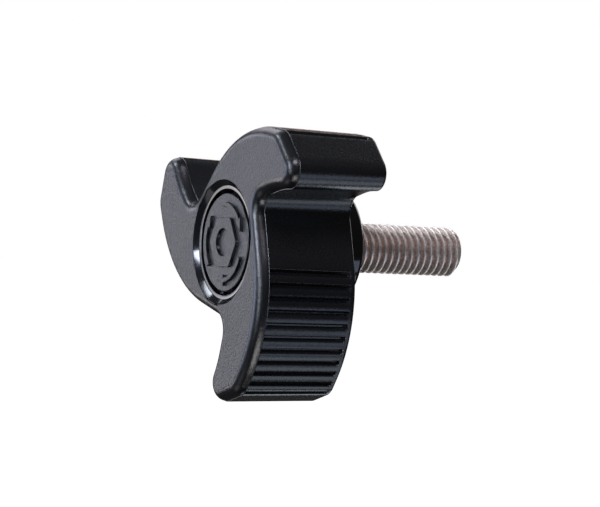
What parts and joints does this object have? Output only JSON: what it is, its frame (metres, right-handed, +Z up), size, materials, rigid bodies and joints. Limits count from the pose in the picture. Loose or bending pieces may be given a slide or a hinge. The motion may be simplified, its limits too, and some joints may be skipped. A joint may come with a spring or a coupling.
{
  "type": "three-wing knob with threaded stud",
  "caption": "Hand-tightened wing fastener: swept ribbed plastic wings round a hub, with a capped steel bolt whose threaded end leaves the clamping boss.",
  "frame": {"origin": "centre of the clamping face, the flat end of the boss that the threaded stud leaves", "axes": "+Y along the stud, away from the knob; -Y out of the capped front face; +Z up"},
  "size_m": [0.0562, 0.052, 0.0536],
  "materials": {
    "moulded_nylon": "fine-textured front face, satin flanks",
    "stainless_steel": "rolled thread, bright crests",
    "cap_nylon": "fine-textured with a smooth raised mark"
  },
  "bodies": {
    "root": {"knob_body": "moulded_nylon", "threaded_stud": "stainless_steel", "front_cap": "cap_nylon"}
  },
  "joints": []
}
